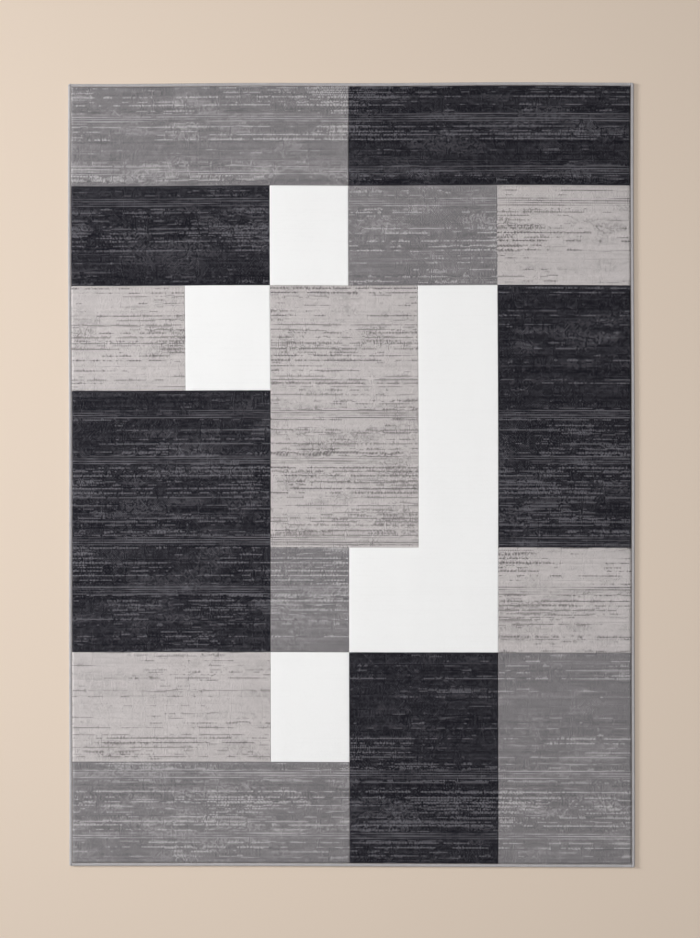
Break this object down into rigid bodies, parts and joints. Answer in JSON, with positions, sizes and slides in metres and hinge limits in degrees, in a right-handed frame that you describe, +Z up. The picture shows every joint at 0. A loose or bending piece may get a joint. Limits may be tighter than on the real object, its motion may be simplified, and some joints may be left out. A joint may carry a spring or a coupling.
{
  "type": "area rug",
  "caption": "Flat rectangular machine-woven area rug with a low cut pile in rectangular blocks of colour and serged edges.",
  "frame": {"origin": "centre of the rug's underside, on the floor", "axes": "+X along the rug's width, +Y along its length, +Z up from the floor through the pile"},
  "size_m": [1.6, 2.216, 0.0085],
  "materials": {
    "pile_charcoal": "matte cut pile, charcoal yarn with mid grey streaks",
    "pile_mid_grey": "matte cut pile, mid grey yarn with light grey streaks",
    "pile_light_grey": "matte cut pile, warm light grey yarn with darker streaks",
    "pile_white": "matte cut pile, plain white yarn",
    "ground": "coarse jute weft over cotton warp",
    "serging": "wrapped light grey yarn",
    "edge_cord": "plain twisted cotton",
    "seam_thread": "spun polyester thread"
  },
  "bodies": {
    "root": {"ground_weave": "ground", "pile_mid_top_left": "pile_mid_grey", "pile_charcoal_top_right": "pile_charcoal", "pile_charcoal_upper_left": "pile_charcoal", "pile_white_upper_middle": "pile_white", "pile_mid_upper_middle": "pile_mid_grey", "pile_light_upper_right": "pile_light_grey", "pile_light_upper_left": "pile_light_grey", "pile_white_upper_left": "pile_white", "pile_light_centre": "pile_light_grey", "pile_white_angled": "pile_white", "pile_charcoal_right": "pile_charcoal", "pile_charcoal_left": "pile_charcoal", "pile_mid_centre": "pile_mid_grey", "pile_light_lower_right": "pile_light_grey", "pile_light_lower_left": "pile_light_grey", "pile_white_lower_middle": "pile_white", "pile_charcoal_bottom": "pile_charcoal", "pile_mid_bottom_right": "pile_mid_grey", "pile_mid_bottom_left": "pile_mid_grey", "serging_right": "serging", "serging_left": "serging", "serging_top": "serging", "serging_bottom": "serging", "edge_cord_right": "edge_cord", "edge_cord_left": "edge_cord", "edge_cord_top": "edge_cord", "edge_cord_bottom": "edge_cord", "needle_seam_right": "seam_thread", "needle_seam_left": "seam_thread", "needle_seam_top": "seam_thread", "needle_seam_bottom": "seam_thread", "corner_knot_top_left": "serging", "corner_knot_top_right": "serging", "corner_knot_bottom_left": "serging", "corner_knot_bottom_right": "serging"}
  },
  "joints": []
}
